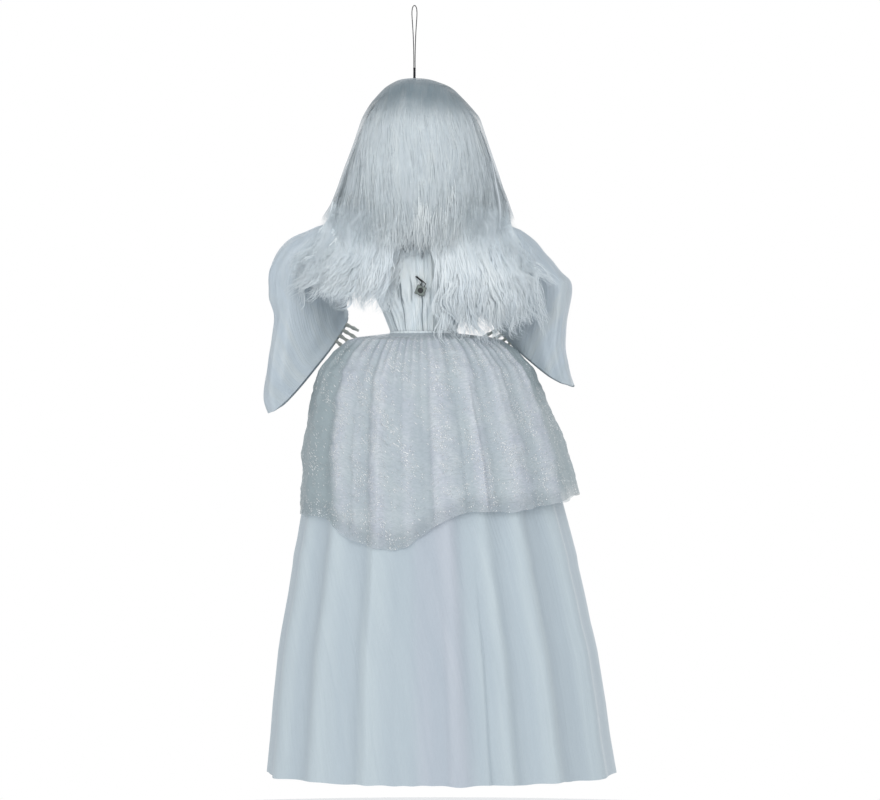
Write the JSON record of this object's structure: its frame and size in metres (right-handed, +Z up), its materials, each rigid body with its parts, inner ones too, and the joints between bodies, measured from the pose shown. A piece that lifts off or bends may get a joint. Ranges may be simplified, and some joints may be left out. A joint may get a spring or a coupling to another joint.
{
  "type": "hanging skeleton bride figure",
  "caption": "Hanging skeleton bride with wig, net veil, bell-sleeved satin top, glitter overskirt, long underskirt, eye lamps and a push switch at the back.",
  "frame": {"origin": "inner top of the hanging loop, where a hook carries the figure", "axes": "+Z up, face along -Y, back of the dress along +Y, the figure's left arm along +X"},
  "size_m": [0.4502, 0.3173, 0.9699],
  "materials": {
    "bone": "aged bone, matt with darker hollows",
    "tooth": "off-white, slightly shiny",
    "hair": "pale grey-blonde synthetic hair",
    "net": "sheer grey net",
    "satin": "cool grey satin",
    "glitter": "organza with fine glitter",
    "voile": "plain grey-blue voile",
    "black_plastic": "black, fine texture",
    "lead": "black insulated wire",
    "cord": "black twisted cord",
    "steel": "plain steel",
    "lamp": "clear epoxy",
    "board": "green board"
  },
  "bodies": {
    "hanger": {"hanging_loop": "cord"},
    "binding": {"loop_binding": "cord"},
    "knot": {"loop_knot": "cord"},
    "figure": {"skull": "bone", "jaw": "bone", "spine": "bone", "rib_cage": "bone", "collar_yoke": "bone", "upper_teeth": "tooth", "lower_teeth": "tooth", "wig_hair_back": "hair", "wig_hair_left": "hair", "wig_hair_right": "hair", "wig_lock_left": "hair", "wig_lock_right": "hair", "veil": "net", "wig_cap": "net", "bodice": "satin", "waistband": "satin", "overskirt": "glitter", "underskirt": "voile", "battery_box": "black_plastic", "battery_cover": "black_plastic", "switch_housing": "black_plastic", "switch_lead": "lead", "eye_lead_left": "lead", "eye_lead_right": "lead", "switch_plate": "steel", "cover_screw": "steel", "battery_cell_1": "steel", "battery_cell_2": "steel", "battery_cell_3": "steel", "shoulder_pin_left": "steel", "shoulder_pin_right": "steel", "eye_lamp_left": "lamp", "eye_lamp_right": "lamp", "circuit_board": "board"},
    "arm_left": {"upper_arm_left": "bone", "sleeve_left": "satin", "elbow_pin_left": "steel"},
    "arm_right": {"upper_arm_right": "bone", "sleeve_right": "satin", "elbow_pin_right": "steel"},
    "forearm_left": {"forearm_left": "bone", "hand_left": "bone"},
    "forearm_right": {"forearm_right": "bone", "hand_right": "bone"},
    "plunger": {"switch_plunger": "black_plastic"}
  },
  "joints": [
    {"name": "loop_twist", "type": "hinge", "parent": "hanger", "child": "binding", "pos_m": [0, 0, -0.0949], "axis": [0, 0, 1], "range_deg": [-180, 180], "stiffness_Nm_per_rad": 0.004},
    {"name": "sway_side", "type": "hinge", "parent": "binding", "child": "knot", "pos_m": [0, 0, -0.0949], "axis": [0, 1, 0], "range_deg": [-15, 15]},
    {"name": "sway_front", "type": "hinge", "parent": "knot", "child": "figure", "pos_m": [0, 0, -0.0949], "axis": [1, 0, 0], "range_deg": [-15, 15]},
    {"name": "shoulder_left", "type": "hinge", "parent": "figure", "child": "arm_left", "pos_m": [0.08265, 0, -0.3001], "axis": [-1, 0, 0], "range_deg": [0, 25]},
    {"name": "shoulder_right", "type": "hinge", "parent": "figure", "child": "arm_right", "pos_m": [-0.09795, 0, -0.3001], "axis": [-1, 0, 0], "range_deg": [0, 25]},
    {"name": "elbow_left", "type": "hinge", "parent": "arm_left", "child": "forearm_left", "pos_m": [0.16235, 0.006, -0.3421], "axis": [-0.3612, 0.7291, -0.5813], "range_deg": [0, 4]},
    {"name": "elbow_right", "type": "hinge", "parent": "arm_right", "child": "forearm_right", "pos_m": [-0.17765, 0.006, -0.3501], "axis": [0.4016, 0.7304, -0.5524], "range_deg": [0, 4]},
    {"name": "switch_press", "type": "slide", "parent": "figure", "child": "plunger", "axis": [0, -1, 0], "range_m": [0, 0.0004], "stiffness_N_per_m": 60}
  ]
}
